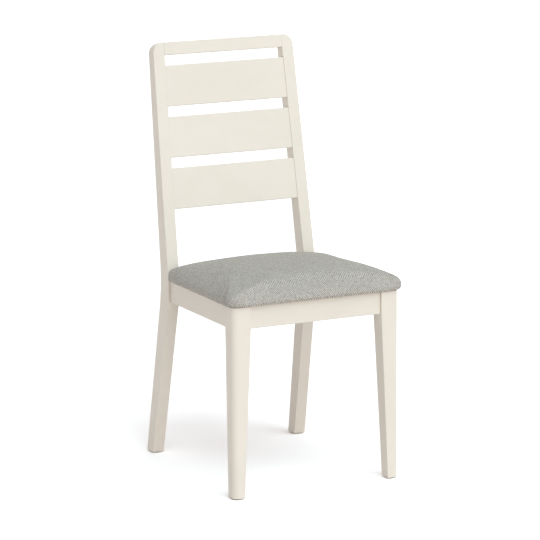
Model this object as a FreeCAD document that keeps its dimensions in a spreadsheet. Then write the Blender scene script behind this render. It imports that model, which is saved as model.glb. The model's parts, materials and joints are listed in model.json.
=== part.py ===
import FreeCAD, Part
import math
import os
import re

import Sketcher

# Upholstered dining chair: a painted timber frame with a slatted back and a padded seat.
#
# Everything is drawn in one workshop frame, in millimetres: X across the chair, Y backwards from the
# front faces of the front legs, Z up from the floor. Each finished piece's Placement then carries it
# along Y, so that the chair's own origin lies on the floor under the middle of its box.
# Left and right are as seen from in front of the chair, so left is on the -X side.

Vector = FreeCAD.Vector
SIDES = {"left": -1, "right": 1}

SIZES = {
    # Small allowance that every cut runs past its work
    "overrun": 5.0,
    # Rear posts, one bent timber each from the floor to the top of the back
    "chair_height": 980.0,
    "post_width": 28.5,
    "rear_foot_width": 406.5,
    "rear_top_width": 362.5,
    "seat_back_y": 382.5,
    "post_flat_low": 370.0,
    "post_flat_high": 448.0,
    "foot_splay": 77.6,
    "post_foot_depth": 33.5,
    "post_seat_depth": 36.7,
    "post_bend_height": 415.0,
    "post_top_depth": 27.0,
    "back_rake": 10.2,
    "rear_bend_radius": 350.0,
    "front_bend_radius": 60.0,
    "post_corner_radius": 25.0,
    # Front legs, square at the rails and tapered below them, the rear face from a step lower
    "front_width": 421.6,
    "leg_width": 45.2,
    "leg_depth": 39.9,
    "leg_foot_width": 27.5,
    "leg_foot_depth": 30.5,
    "leg_corner_radius": 14.0,
    "leg_taper_step": 6.0,
    # Easing of the timber edges
    "edge_radius": 1.5,
    "upright_edge_radius": 0.8,
    # Back: a top rail and three flat slats, measured down the slope of the back
    "top_rail_height": 30.0,
    "back_gap": 24.0,
    "slat_height": 96.0,
    "slat_thickness": 17.0,
    "slat_recess": 1.3,
    "slat_edge_radius": 2.0,
    "tenon_thickness": 9.0,
    "tenon_length": 15.0,
    "tenon_shoulder": 8.0,
    # Seat rails, all following the seat's slope down to the rear
    "seat_rail_top": 443.5,
    "seat_slope": 1.55,
    "rail_height": 52.0,
    "rail_thickness": 20.0,
    "front_rail_setback": 5.0,
    "side_rail_setback": 6.0,
    "rear_rail_rise": 15.0,
    # Corner blocks inside the seat frame
    "block_height": 25.0,
    "block_drop": 2.0,
    "front_block_reach": 40.0,
    "front_block_run": 45.0,
    "rear_block_reach": 50.0,
    "rear_block_run": 50.0,
    # Dowels
    "dowel_radius": 4.0,
    "dowel_length": 36.0,
    "top_dowel_length": 30.0,
    "dowel_chamfer": 1.0,
    # Screws that hold the corner blocks to the rails
    "block_screw_length": 22.0,
    "block_screw_radius": 2.0,
    "block_screw_head_radius": 4.0,
    "block_screw_head_height": 2.5,
    "block_screw_grip": 9.0,
    "block_screw_inset": 24.0,
    "screw_point_height": 4.0,
    "counterbore_clearance": 0.5,
    # Screws that hold the padded seat down, up through the corner blocks
    "seat_screw_radius": 2.25,
    "seat_screw_head_radius": 4.5,
    "seat_screw_head_height": 3.0,
    "seat_screw_bite": 9.0,
    "seat_screw_inset": 18.0,
    "front_screw_inset": 8.0,
    # Nail-on glides under the four feet
    "glide_radius": 10.0,
    "glide_thickness": 2.5,
    "glide_chamfer": 0.5,
    "nail_head_radius": 3.0,
    "nail_head_height": 1.0,
    "nail_head_depth": 0.8,
    "nail_radius": 1.2,
    "nail_length": 18.0,
    "nail_point_height": 2.5,
    # Padded seat: plan
    "pad_overhang": 9.5,
    "pad_side_overhang": 11.7,
    "pad_rear_side_overhang": 5.5,
    "pad_rear_gap": 2.5,
    "pad_front_corner": 22.0,
    "pad_rear_corner": 12.0,
    # Padded seat: section
    "pad_edge_height": 36.0,
    "pad_crown_height": 59.0,
    "pad_edge_round": 14.0,
    "pad_crown_inset": 140.0,
    "cover_thickness": 1.0,
    "cover_turn_in": 50.0,
    "wadding_thickness": 6.0,
    "board_thickness": 12.0,
    "board_inset": 10.0,
    "board_corner": 14.0,
    "dust_cover_thickness": 0.6,
    "dust_cover_gap": 3.0,
    "dust_cover_rear_inset": 6.0,
    "dust_cover_corner": 20.0,
    # Staples
    "staple_crown": 10.0,
    "staple_leg": 8.0,
    "staple_wire": 0.6,
    "staple_wire_width": 0.9,
    "cover_staple_inset": 22.0,
    "dust_staple_inset": 6.0,
}

# Places worked out from the sizes, as the formulas of a second sheet
PLACES = {
    "clear_top": "chair_height + overrun",
    "clear_half": "front_width/2 + pad_side_overhang + overrun",
    "post_lean": "(rear_foot_width - rear_top_width)/2/chair_height",
    "back_sin": "sin(back_rake)",
    "back_cos": "cos(back_rake)",
    "crest_y": "seat_back_y + (chair_height - post_flat_high)*tan(back_rake)",
    "clear_front": "-pad_overhang - overrun",
    "clear_back": "crest_y + post_foot_depth + overrun",
    "clear_seat": "seat_rail_top + overrun",
    "home_y": "-(crest_y + post_top_depth*back_cos - pad_overhang)/2",
    "seat_tan": "tan(seat_slope)",
    "rail_low": "seat_rail_top - rail_height",
    "rear_rail_top": "seat_rail_top - seat_back_y*seat_tan",
    "rear_rail_middle": "rear_rail_top - rail_height/2",
    "leg_outer": "front_width/2",
    "leg_inner": "leg_outer - leg_width",
    "front_rail_back": "front_rail_setback + rail_thickness",
    "post_outer_at_rail": "rear_foot_width/2 - post_lean*rear_rail_middle",
    "post_inner_at_rail": "post_outer_at_rail - post_width",
    "side_front": "leg_outer - side_rail_setback",
    "side_rear": "post_outer_at_rail - side_rail_setback",
    "side_toe": "(side_front - side_rear)/(seat_back_y - leg_depth)",
    "side_inner_rear": "side_rear - rail_thickness",
    "top_rail_inner": "rear_foot_width/2 - post_lean*chair_height - post_width",
    "rear_foot_y": "seat_back_y + foot_splay + post_foot_depth/2",
    "rear_foot_x": "rear_foot_width/2 - post_width/2",
    "front_foot_x": "leg_outer - leg_foot_width/2",
    "front_foot_y": "leg_foot_depth/2",
    "pad_front": "-pad_overhang",
    "pad_rear": "seat_back_y - pad_rear_gap",
    "pad_front_half": "leg_outer + pad_side_overhang",
    "pad_rear_half": "post_outer_at_rail + pad_rear_side_overhang",
    "pad_taper": "(pad_front_half - pad_rear_half)/(pad_rear - pad_front)",
    "board_top": "cover_thickness + board_thickness",
    "block_low": "block_drop + block_height",
    "seat_screw_length": "block_low + cover_thickness + seat_screw_bite",
    "slat_step": "slat_height + back_gap",
}

# Heights of the dowels in a rail, as shares of the rail's height; the rails that cross the chair use
# the second pair, so that dowels from two sides pass each other inside a leg or post
SIDE_DOWEL_SHARES = (0.2, 0.6)
CROSS_DOWEL_SHARES = (0.4, 0.8)
# Places of the top rail's dowels across its depth, and their height in it
TOP_DOWEL_SHARES = (0.27, 0.73)
TOP_DOWEL_HEIGHT_SHARE = 0.5
# Side of the pad from its underside to its shoulder: shares of the shoulder's inset and height
PAD_EDGE_SHARES = ((0.45, 0.0), (0.12, 0.12), (0.0, 0.38), (0.1, 0.66), (0.42, 0.88), (1.0, 1.0))
# Crown of the pad from its shoulder inwards: shares of the crown's inset and rise
PAD_CROWN_SHARES = ((0.16, 0.4), (0.34, 0.69), (0.6, 0.91), (1.0, 1.0))
# Growth of the pad's corner radius with the inset, and its limit as a share of the shorter side
PAD_CORNER_GROWTH_SHARE = 0.8
PAD_CORNER_LIMIT_SHARE = 0.45
# Two faces that meet at more than this angle, in degrees, meet in a sharp edge
SHARP_ANGLE = 20.0
# Faces and edges nearer to each other than this are at the same place
SAME_PLACE = 0.001
COVER_STAPLES_ACROSS_COUNT = 6
COVER_STAPLES_ALONG_COUNT = 5
DUST_STAPLES_ACROSS_COUNT = 4
DUST_STAPLES_ALONG_COUNT = 4

doc = FreeCAD.newDocument("dining_chair")
finished = []


# Sheets and expressions

def cells(text, home=""):
    """Puts the sheet's name before each alias of an expression."""
    def cell(match):
        word = match.group()
        if word in SIZES:
            return "sizes." + word
        if word in PLACES and home != "places":
            return "places." + word
        return word
    return re.sub(r"[a-z][a-z_]*", cell, text)


def fill_sheet(name, rows):
    sheet = doc.addObject("Spreadsheet::Sheet", name)
    for row, (alias, content) in enumerate(rows, start=1):
        sheet.set(f"A{row}", alias)
        sheet.set(f"B{row}", content)
        sheet.setAlias(f"B{row}", alias)
    doc.recompute()
    return sheet


sizes = fill_sheet("sizes", [(alias, str(size)) for alias, size in SIZES.items()])
places = fill_sheet("places", [(alias, "=" + cells(text, "places")) for alias, text in PLACES.items()])


def read(alias):
    """A size or place as a number, for shapes that no feature makes."""
    sheet = sizes if alias in SIZES else places
    return float(sheet.get(alias))


def bind(thing, **expressions):
    """Binds properties to expressions; a double underscore stands for a dot."""
    for path, text in expressions.items():
        thing.setExpression(path.replace("__", "."), cells(text))


def post_outer(height):
    return f"(rear_foot_width/2 - post_lean*({height}))"


def post_inner(height):
    return f"({post_outer(height)} - post_width)"


def side_outer(depth):
    return f"(side_front - (({depth}) - leg_depth)*side_toe)"


def side_inner(depth):
    return f"({side_outer(depth)} - rail_thickness)"


def seat_plane(depth, drop="0"):
    """Height at a depth of the plane that the rails' tops lie in, less a drop."""
    return f"(seat_rail_top - ({depth})*seat_tan - ({drop}))"


def back_point(down, behind):
    """Side view place of a point of the back: down its slope and behind the posts' front faces."""
    across = f"crest_y - ({down})*back_sin + ({behind})*back_cos"
    height = f"chair_height - ({down})*back_cos - ({behind})*back_sin"
    return across, height


# Sketches and features

def add_loop(sketch, points):
    """Adds a closed outline whose corners are bound to pairs of expressions."""
    first = sketch.GeometryCount
    count = len(points)
    start = []
    for corner in range(count):
        turn = math.tau*corner/count
        start.append(Vector(math.cos(turn), math.sin(turn), 0)*read("clear_half"))
    for corner in range(count):
        sketch.addGeometry(Part.LineSegment(start[corner], start[(corner + 1) % count]), False)
    for corner in range(count):
        following = first + (corner + 1) % count
        sketch.addConstraint(Sketcher.Constraint("Coincident", first + corner, 2, following, 1))
    for corner, pair in enumerate(points):
        for kind, text, value in zip(("DistanceX", "DistanceY"), pair, start[corner]):
            index = sketch.addConstraint(Sketcher.Constraint(kind, first + corner, 1, value))
            sketch.setExpression(f"Constraints[{index}]", cells(text))


def make_body(name):
    body = doc.addObject("PartDesign::Body", name)
    doc.recompute()
    return body


def add_sketch(body, name, role, loops, offset=None):
    sketch = body.newObject("Sketcher::SketchObject", name)
    plane = next(feature for feature in body.Origin.OriginFeatures if feature.Role == role)
    sketch.AttachmentSupport = [(plane, "")]
    sketch.MapMode = "FlatFace"
    for points in loops:
        add_loop(sketch, points)
    if offset:
        bind(sketch, AttachmentOffset__Base__z=offset)
    return sketch


def add_pad(body, sketch, length, symmetric=True):
    pad = body.newObject("PartDesign::Pad", "pad")
    pad.Profile = sketch
    if symmetric:
        pad.SideType = "Symmetric"
    bind(pad, Length=length)
    doc.recompute()
    return pad


def trim_to(body, role, points):
    """Cuts away everything outside an outline, seen along the normal of a plane."""
    low, high = ("-clear_half", "clear_half") if role == "XZ_Plane" else ("clear_front", "clear_back")
    frame = [
        (f"{low} - overrun", "-overrun"),
        (f"{high} + overrun", "-overrun"),
        (f"{high} + overrun", "clear_top + overrun"),
        (f"{low} - overrun", "clear_top + overrun")]
    sketch = add_sketch(body, "trim_outline", role, [frame, points])
    pocket = body.newObject("PartDesign::Pocket", "trim")
    pocket.Profile = sketch
    pocket.Type = "ThroughAll"
    pocket.SideType = "Symmetric"
    doc.recompute()
    return pocket


def edge_names(shape, chosen):
    """Names of the edges of a shape that a test picks."""
    return [f"Edge{index}" for index, edge in enumerate(shape.Edges, start=1) if chosen(edge)]


def is_sharp(shape, edge):
    faces = shape.ancestorsOfType(edge, Part.Face)
    if len(faces) != 2:
        return False
    middle = edge.valueAt((edge.FirstParameter + edge.LastParameter)/2)
    normals = []
    for face in faces:
        normals.append(face.normalAt(*face.Surface.parameter(middle)))
    return math.degrees(normals[0].getAngle(normals[1])) > SHARP_ANGLE


def fillet(body, text, chosen):
    """Rounds the edges that a test picks on the body's last feature."""
    base = body.Tip
    names = edge_names(base.Shape, lambda edge: chosen(base.Shape, edge))
    feature = body.newObject("PartDesign::Fillet", "round")
    feature.Base = (base, names)
    bind(feature, Radius=text)
    doc.recompute()
    return feature


def spans(edge, axis):
    """Length of an edge's box along one axis."""
    return getattr(edge.BoundBox, axis.upper() + "Length")


def lies_across(edge, across, height):
    """Whether an edge runs along X through a point of the side view."""
    centre = edge.CenterOfMass
    off = math.hypot(centre.y - across, centre.z - height)
    return off < SAME_PLACE and spans(edge, "y") < SAME_PLACE and spans(edge, "z") < SAME_PLACE


def side_corners(points):
    """Numbers for side view corners that are given as aliases, for picking their edges."""
    return [(read(across), read(height)) for across, height in points]


def turned_body(name, points):
    """A round piece turned about Z, from the radius and height of its outline's corners."""
    body = make_body(name)
    sketch = add_sketch(body, "turned_outline", "XZ_Plane", [points])
    turning = body.newObject("PartDesign::Revolution", "turned")
    turning.Profile = sketch
    turning.ReferenceAxis = (sketch, ["V_Axis"])
    doc.recompute()
    return body


# Finished pieces

def finish(thing, name, in_seat_frame=False):
    """Labels a finished piece and binds its Placement to the chair's origin."""
    thing.Label = name
    if in_seat_frame:
        tilt(thing)
    bind(thing, Placement__Base__y="home_y")
    finished.append(thing)
    return thing


def tilt(thing):
    """Lays a piece that is drawn flat on the sloping plane of the rails' tops."""
    thing.Placement = FreeCAD.Placement(Vector(), FreeCAD.Rotation(Vector(-1, 0, 0), read("seat_slope")))
    bind(thing, Placement__Rotation__Angle="seat_slope", Placement__Base__z="seat_rail_top")


def compound(name, things):
    group = doc.addObject("Part::Compound", name)
    group.Links = things
    return group


def cut_by(base, tools, name):
    """A finished piece: a blank less the pieces that are let into it."""
    cut = doc.addObject("Part::Cut", name)
    cut.Base = base
    cut.Tool = compound(name + "_joinery", tools)
    return finish(cut, name)


def copy_at(master, name, rotation, **expressions):
    """One of several identical pieces, as a link to the piece that is drawn."""
    link = doc.addObject("App::Link", name)
    link.LinkedObject = master
    link.Placement = FreeCAD.Placement(Vector(), rotation)
    bind(link, **{"Placement__Base__" + axis: text for axis, text in expressions.items()})
    return link


def fastener_group(name, copies, in_seat_frame=False):
    """Makes the finished group of copies, and a twin in the workshop frame for cutting their holes."""
    twin = compound(name + "_holes", copies)
    if in_seat_frame:
        tilt(twin)
    finish(compound(name, copies), name, in_seat_frame)
    return twin


UPRIGHT = FreeCAD.Rotation()
ALONG_X = FreeCAD.Rotation(Vector(0, 1, 0), 90)
ALONG_Y = FreeCAD.Rotation(Vector(1, 0, 0), -90)
ALONG_MINUS_X = FreeCAD.Rotation(Vector(0, 1, 0), -90)
ALONG_MINUS_Y = FreeCAD.Rotation(Vector(1, 0, 0), 90)


# Dowels

def dowel(name, length):
    slim = "dowel_radius - dowel_chamfer"
    return turned_body(name, [
        ("0", f"-{length}/2"),
        (slim, f"-{length}/2"),
        ("dowel_radius", f"-{length}/2 + dowel_chamfer"),
        ("dowel_radius", f"{length}/2 - dowel_chamfer"),
        (slim, f"{length}/2"),
        ("0", f"{length}/2")])


def make_dowels():
    """Groups of dowels, half in each of the two timbers that they join."""
    rail_dowel = dowel("rail_dowel", "dowel_length")
    top_dowel = dowel("top_dowel", "top_dowel_length")
    groups = {"front_rail_dowels": [], "side_rail_dowels": [], "rear_rail_dowels": [], "top_rail_dowels": []}
    for side_name, side in SIDES.items():
        for number, share in enumerate(CROSS_DOWEL_SHARES, start=1):
            middle = "front_rail_setback + rail_thickness/2"
            groups["front_rail_dowels"].append(copy_at(
                rail_dowel, f"front_dowel_{side_name}_{number}", ALONG_X,
                x=f"{side}*leg_inner", y=middle,
                z=seat_plane(middle, f"rail_height*{1 - share}")))
            middle = "seat_back_y + rail_thickness/2"
            groups["rear_rail_dowels"].append(copy_at(
                rail_dowel, f"rear_dowel_{side_name}_{number}", ALONG_X,
                x=f"{side}*post_inner_at_rail", y=middle,
                z=seat_plane(middle, f"rail_height*{1 - share}")))
        for number, share in enumerate(SIDE_DOWEL_SHARES, start=1):
            for end, depth in (("front", "leg_depth"), ("rear", "seat_back_y")):
                groups["side_rail_dowels"].append(copy_at(
                    rail_dowel, f"side_dowel_{side_name}_{end}_{number}", ALONG_Y,
                    x=f"{side}*({side_outer(depth)} - rail_thickness/2)", y=depth,
                    z=seat_plane(depth, f"rail_height*{1 - share}")))
        for number, share in enumerate(TOP_DOWEL_SHARES, start=1):
            down = f"top_rail_height*{TOP_DOWEL_HEIGHT_SHARE}"
            across, height = back_point(down, f"post_top_depth*{share}")
            groups["top_rail_dowels"].append(copy_at(
                top_dowel, f"top_dowel_{side_name}_{number}", ALONG_X,
                x=f"{side}*top_rail_inner", y=across, z=height))
    return {name: fastener_group(name, copies) for name, copies in groups.items()}


# Screws

def pan_head_screw(name, length, radius, head_radius, head_height):
    """A screw whose head stands below Z zero and whose shank rises from it to a point."""
    return turned_body(name, [
        ("0", f"-{head_height}"),
        (head_radius, f"-{head_height}"),
        (head_radius, "0"),
        (radius, "0"),
        (radius, f"{length} - screw_point_height"),
        ("0", length)])


def make_block_screws():
    """Two screws through each corner block, one into each rail, and the counterbores of their heads."""
    screw = pan_head_screw("block_screw", "block_screw_length", "block_screw_radius",
                           "block_screw_head_radius", "block_screw_head_height")
    wide = "block_screw_head_radius + counterbore_clearance"
    bore = turned_body("block_counterbore", [
        ("0", "0"), (wide, "0"), (wide, "-front_block_reach"), ("0", "-front_block_reach")])
    half_way = "block_drop + block_height/2"
    spots = []
    for side_name, side in SIDES.items():
        outward = ALONG_X if side > 0 else ALONG_MINUS_X
        front_x = f"{side}*(leg_inner - block_screw_inset)"
        front_y = "front_rail_back + block_screw_grip"
        spots.append((side_name, "front_cross", ALONG_MINUS_Y, front_x, front_y))
        side_y = "leg_depth + block_screw_inset"
        side_x = f"{side}*({side_inner(side_y)} - block_screw_grip)"
        spots.append((side_name, "front_side", outward, side_x, side_y))
        rear_x = f"{side}*(side_inner_rear - block_screw_inset - block_screw_radius*2)"
        spots.append((side_name, "rear_cross", ALONG_Y, rear_x, "seat_back_y - block_screw_grip"))
        side_y = "seat_back_y - block_screw_inset - block_screw_radius*2"
        side_x = f"{side}*({side_inner(side_y)} - block_screw_grip)"
        spots.append((side_name, "rear_side", outward, side_x, side_y))
    screws = []
    bores = {}
    for side_name, spot, rotation, across, depth in spots:
        where = {"x": across, "y": depth, "z": seat_plane(depth, half_way)}
        name = f"block_screw_{side_name}_{spot}"
        screws.append(copy_at(screw, name, rotation, **where))
        corner = spot.split("_")[0]
        bores.setdefault(f"{corner}_{side_name}", []).append(copy_at(bore, name + "_bore", rotation, **where))
    return fastener_group("corner_block_screws", screws), bores


def make_seat_screws():
    """Four screws up through the corner blocks into the seat board, square to the seat."""
    screw = pan_head_screw("seat_screw", "seat_screw_length", "seat_screw_radius",
                           "seat_screw_head_radius", "seat_screw_head_height")
    screws = []
    for side_name, side in SIDES.items():
        front_x = f"{side}*(leg_inner - front_screw_inset)"
        front_y = "leg_depth + seat_screw_radius*2"
        rear_x = f"{side}*(side_inner_rear - seat_screw_inset)"
        rear_y = "seat_back_y - seat_screw_inset"
        for end, across, depth in (("front", front_x, front_y), ("rear", rear_x, rear_y)):
            screws.append(copy_at(screw, f"seat_screw_{end}_{side_name}", UPRIGHT,
                                  x=across, y=depth, z="-block_low"))
    return fastener_group("seat_fixing_screws", screws, in_seat_frame=True)


# Feet

def make_feet():
    """Glides with a nail moulded into each; returns the nails' holes for the legs and posts."""
    head_top = "nail_head_depth + nail_head_height"
    nail = turned_body("glide_nail", [
        ("0", "nail_head_depth"),
        ("nail_head_radius", "nail_head_depth"),
        ("nail_head_radius", head_top),
        ("nail_radius", head_top),
        ("nail_radius", "nail_head_depth + nail_length - nail_point_height"),
        ("0", "nail_head_depth + nail_length")])
    glide = turned_body("glide", [
        ("0", "0"),
        ("glide_radius - glide_chamfer", "0"),
        ("glide_radius", "glide_chamfer"),
        ("glide_radius", "glide_thickness"),
        ("0", "glide_thickness")])
    nails = []
    for end in ("front", "rear"):
        for side_name, side in SIDES.items():
            where = {"x": f"{side}*{end}_foot_x", "y": f"{end}_foot_y"}
            name = f"{end}_{side_name}"
            nails.append(copy_at(nail, f"glide_nail_{name}", UPRIGHT, **where))
            blank = copy_at(glide, f"glide_blank_{name}", UPRIGHT, **where)
            cut_by(blank, [nails[-1]], f"foot_glide_{name}")
    return fastener_group("foot_glide_nails", nails)


# Rear posts and front legs

def both_sides(body, name):
    """The left and right of a leg or post from the body of the right one, its sharp edges rounded.

    The edges run through shallow bends where a body's own fillets give an unsound shape, so this
    easing is made on the solid itself.
    """
    solid = body.Shape.Solids[0]
    sharp = [edge for edge in solid.Edges if is_sharp(solid, edge)]
    timber = doc.addObject("Part::Feature", name + "_blank")
    timber.Shape = solid.makeFillet(read("upright_edge_radius"), sharp).Solids[0]
    twin = doc.addObject("Part::Mirroring", name + "_blank_mirrored")
    twin.Source = timber
    twin.Normal = Vector(1, 0, 0)
    return {"left": twin, "right": timber}


def post_blanks():
    body = make_body("post_body")
    outline = [
        ("seat_back_y + foot_splay", "0"),
        ("seat_back_y", "post_flat_low"),
        ("seat_back_y", "post_flat_high"),
        ("crest_y", "chair_height"),
        back_point("0", "post_top_depth"),
        ("seat_back_y + post_seat_depth", "post_bend_height"),
        ("seat_back_y + foot_splay + post_foot_depth", "0")]
    add_pad(body, add_sketch(body, "side_view", "YZ_Plane", [outline]), "2*clear_half")
    front_bends = side_corners((("seat_back_y", "post_flat_low"), ("seat_back_y", "post_flat_high")))
    fillet(body, "front_bend_radius", lambda shape, edge: any(lies_across(edge, *at) for at in front_bends))
    rear_bend = (read("seat_back_y") + read("post_seat_depth"), read("post_bend_height"))
    fillet(body, "rear_bend_radius", lambda shape, edge: lies_across(edge, *rear_bend))
    low = "glide_thickness"
    trim_to(body, "XZ_Plane", [
        (post_outer(low), low),
        (post_outer("clear_top"), "clear_top"),
        (post_inner("clear_top"), "clear_top"),
        (post_inner(low), low)])

    def outer_top(shape, edge):
        top = max(shape.Faces, key=lambda face: face.CenterOfMass.z)
        return edge.isSame(max(top.Edges, key=lambda bound: bound.CenterOfMass.x))
    fillet(body, "post_corner_radius", outer_top)
    return both_sides(body, "post")


def leg_blanks():
    body = make_body("leg_body")
    plan = [
        ("leg_outer", "0"),
        ("leg_inner", "0"),
        ("leg_inner", "leg_depth"),
        ("leg_outer", "leg_depth")]
    add_pad(body, add_sketch(body, "plan", "XY_Plane", [plan]), "clear_seat", symmetric=False)

    def outer_corner(shape, edge):
        centre = edge.CenterOfMass
        return abs(centre.x - read("leg_outer")) < SAME_PLACE and abs(centre.y) < SAME_PLACE
    fillet(body, "leg_corner_radius", outer_corner)
    trim_to(body, "YZ_Plane", [
        ("-overrun", "glide_thickness"),
        ("-overrun", seat_plane("-overrun")),
        ("leg_depth", seat_plane("leg_depth")),
        ("leg_depth", "rail_low - leg_taper_step"),
        ("leg_foot_depth", "glide_thickness")])
    trim_to(body, "XZ_Plane", [
        ("leg_outer + overrun", "glide_thickness"),
        ("leg_outer + overrun", "clear_top"),
        ("leg_inner", "clear_top"),
        ("leg_inner", "rail_low"),
        ("leg_outer - leg_foot_width", "glide_thickness")])
    return both_sides(body, "leg")


# Back

def back_section(down, tall, behind, deep):
    """Side view corners of a board of the back."""
    return [
        back_point(down, behind),
        back_point(down, f"{behind} + {deep}"),
        back_point(f"{down} + {tall}", f"{behind} + {deep}"),
        back_point(f"{down} + {tall}", behind)]


def between_posts(body):
    """Trims a board to the posts' leaning inner faces."""
    trim_to(body, "XZ_Plane", [
        (f"-{post_inner('0')}", "0"),
        (post_inner("0"), "0"),
        (post_inner("clear_top"), "clear_top"),
        (f"-{post_inner('clear_top')}", "clear_top")])


def runs_across(shape, edge):
    """Whether an edge is one of the long edges of a board that lies across the chair."""
    return is_sharp(shape, edge) and spans(edge, "y") < SAME_PLACE and spans(edge, "z") < SAME_PLACE


def make_slats():
    """Three slats with a tenon through to each post; returns the bars that cut the mortises."""
    bars = []
    for number, level in enumerate(("upper", "middle", "lower")):
        down = f"top_rail_height + back_gap + {number}*slat_step"
        board = make_body(f"slat_board_{level}")
        section = back_section(down, "slat_height", "slat_recess", "slat_thickness")
        add_pad(board, add_sketch(board, "section", "YZ_Plane", [section]), "2*clear_half")
        fillet(board, "slat_edge_radius", runs_across)
        between_posts(board)
        bar = make_body(f"tenon_bar_{level}")
        section = back_section(
            f"{down} + tenon_shoulder", "slat_height - 2*tenon_shoulder",
            "slat_recess + (slat_thickness - tenon_thickness)/2", "tenon_thickness")
        middle_height = back_point(f"{down} + slat_height/2", "0")[1]
        length = f"2*({post_inner(middle_height)} + tenon_length)"
        add_pad(bar, add_sketch(bar, "section", "YZ_Plane", [section]), length)
        slat = doc.addObject("Part::MultiFuse", f"back_slat_{level}")
        slat.Shapes = [board, bar]
        finish(slat, f"back_slat_{level}")
        bars.append(bar)
    return bars


def make_top_rail(dowels):
    blank = make_body("top_rail_blank")
    section = back_section("0", "top_rail_height", "0", "post_top_depth")
    add_pad(blank, add_sketch(blank, "section", "YZ_Plane", [section]), "2*clear_half")
    fillet(blank, "edge_radius", runs_across)
    between_posts(blank)
    cut_by(blank, [dowels["top_rail_dowels"]], "top_rail")


# Seat frame

def rail_section(front, rise="0"):
    """Side view corners of a rail that crosses the chair, on the seat's slope; it can rise above the seat."""
    back = f"{front} + rail_thickness"
    return [
        (front, seat_plane(front, "rail_height")),
        (front, f"{seat_plane(front)} + {rise}"),
        (back, f"{seat_plane(back)} + {rise}"),
        (back, seat_plane(back, "rail_height"))]


def make_cross_rails(dowels, block_screws):
    front = make_body("front_rail_blank")
    sketch = add_sketch(front, "section", "YZ_Plane", [rail_section("front_rail_setback")])
    add_pad(front, sketch, "2*leg_inner")
    fillet(front, "edge_radius", runs_across)
    cut_by(front, [dowels["front_rail_dowels"], block_screws], "front_seat_rail")
    rear = make_body("rear_rail_blank")
    sketch = add_sketch(rear, "section", "YZ_Plane", [rail_section("seat_back_y", "rear_rail_rise")])
    add_pad(rear, sketch, "2*clear_half")
    fillet(rear, "edge_radius", runs_across)
    between_posts(rear)
    cut_by(rear, [dowels["rear_rail_dowels"], block_screws], "rear_seat_rail")


def sloping_band(drop, low_drop):
    """Side view corners of a band between two drops below the seat plane, the depth of the chair."""
    return [
        ("clear_front", seat_plane("clear_front", low_drop)),
        ("clear_front", seat_plane("clear_front", drop)),
        ("clear_back", seat_plane("clear_back", drop)),
        ("clear_back", seat_plane("clear_back", low_drop))]


def make_side_rail(side_name, side, dowels, block_screws):
    body = make_body(f"side_rail_blank_{side_name}")
    plan = [
        (f"{side}*{side_outer('leg_depth')}", "leg_depth"),
        (f"{side}*{side_outer('seat_back_y')}", "seat_back_y"),
        (f"{side}*{side_inner('seat_back_y')}", "seat_back_y"),
        (f"{side}*{side_inner('leg_depth')}", "leg_depth")]
    add_pad(body, add_sketch(body, "plan", "XY_Plane", [plan]), "clear_seat", symmetric=False)
    trim_to(body, "YZ_Plane", sloping_band("0", "rail_height"))
    half_length = read("seat_back_y")/2
    fillet(body, "edge_radius",
           lambda shape, edge: is_sharp(shape, edge) and spans(edge, "y") > half_length)
    cut_by(body, [dowels["side_rail_dowels"], block_screws], f"side_seat_rail_{side_name}")


def make_corner_block(end, side_name, side, tools):
    """A block in a corner of the seat frame: notched round the front leg, plain before the post."""
    if end == "front":
        far = "leg_depth + front_block_run"
        plan = [
            ("leg_inner - front_block_reach", "front_rail_back"),
            ("leg_inner", "front_rail_back"),
            ("leg_inner", "leg_depth"),
            (side_inner("leg_depth"), "leg_depth"),
            (side_inner(far), far)]
    else:
        far = "seat_back_y - rear_block_run"
        plan = [
            (side_inner(far), far),
            ("side_inner_rear", "seat_back_y"),
            ("side_inner_rear - rear_block_reach", "seat_back_y")]
    body = make_body(f"{end}_block_blank_{side_name}")
    corners = [(f"{side}*({across})", depth) for across, depth in plan]
    add_pad(body, add_sketch(body, "plan", "XY_Plane", [corners]), "clear_seat", symmetric=False)
    trim_to(body, "YZ_Plane", sloping_band("block_drop", "block_low"))
    cut_by(body, tools, f"corner_block_{end}_{side_name}")


# Padded seat, drawn flat with the plane of the rails' tops as Z zero

def pad_side(depth, inset):
    """Half width of the pad's plan at a depth, less an inset."""
    return f"(pad_front_half - (({depth}) - pad_front)*pad_taper - ({inset}))"


def pad_plan(inset):
    """Corners of the pad's plan, less an inset all round."""
    front = f"pad_front + {inset}"
    rear = f"pad_rear - {inset}"
    return [
        (f"-{pad_side(front, inset)}", front),
        (pad_side(front, inset), front),
        (pad_side(rear, inset), rear),
        (f"-{pad_side(rear, inset)}", rear)]


def stands_up(shape, edge):
    return is_sharp(shape, edge) and spans(edge, "x") < SAME_PLACE and spans(edge, "y") < SAME_PLACE


def make_seat_board(tools):
    blank = make_body("seat_board_blank")
    sketch = add_sketch(blank, "plan", "XY_Plane", [pad_plan("board_inset")], "cover_thickness")
    add_pad(blank, sketch, "board_thickness", symmetric=False)
    fillet(blank, "board_corner", stands_up)
    tilt(blank)
    return cut_by(blank, tools, "seat_board")


def make_dust_cover(tools):
    """Cloth under the seat, inside the rails and cut off square of the front legs."""
    front = "front_rail_back + dust_cover_gap"
    rear = "pad_rear - dust_cover_rear_inset"
    beside_leg = "leg_depth + dust_cover_corner"
    half = [
        ("leg_inner - dust_cover_corner", front),
        (f"{side_inner(beside_leg)} - dust_cover_gap", beside_leg),
        (f"{side_inner(rear)} - dust_cover_gap", rear)]
    plan = half + [(f"-({across})", depth) for across, depth in reversed(half)]
    blank = make_body("dust_cover_blank")
    sketch = add_sketch(blank, "plan", "XY_Plane", [plan], "-dust_cover_thickness")
    add_pad(blank, sketch, "dust_cover_thickness", symmetric=False)
    tilt(blank)
    return cut_by(blank, tools, "seat_dust_cover")


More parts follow.
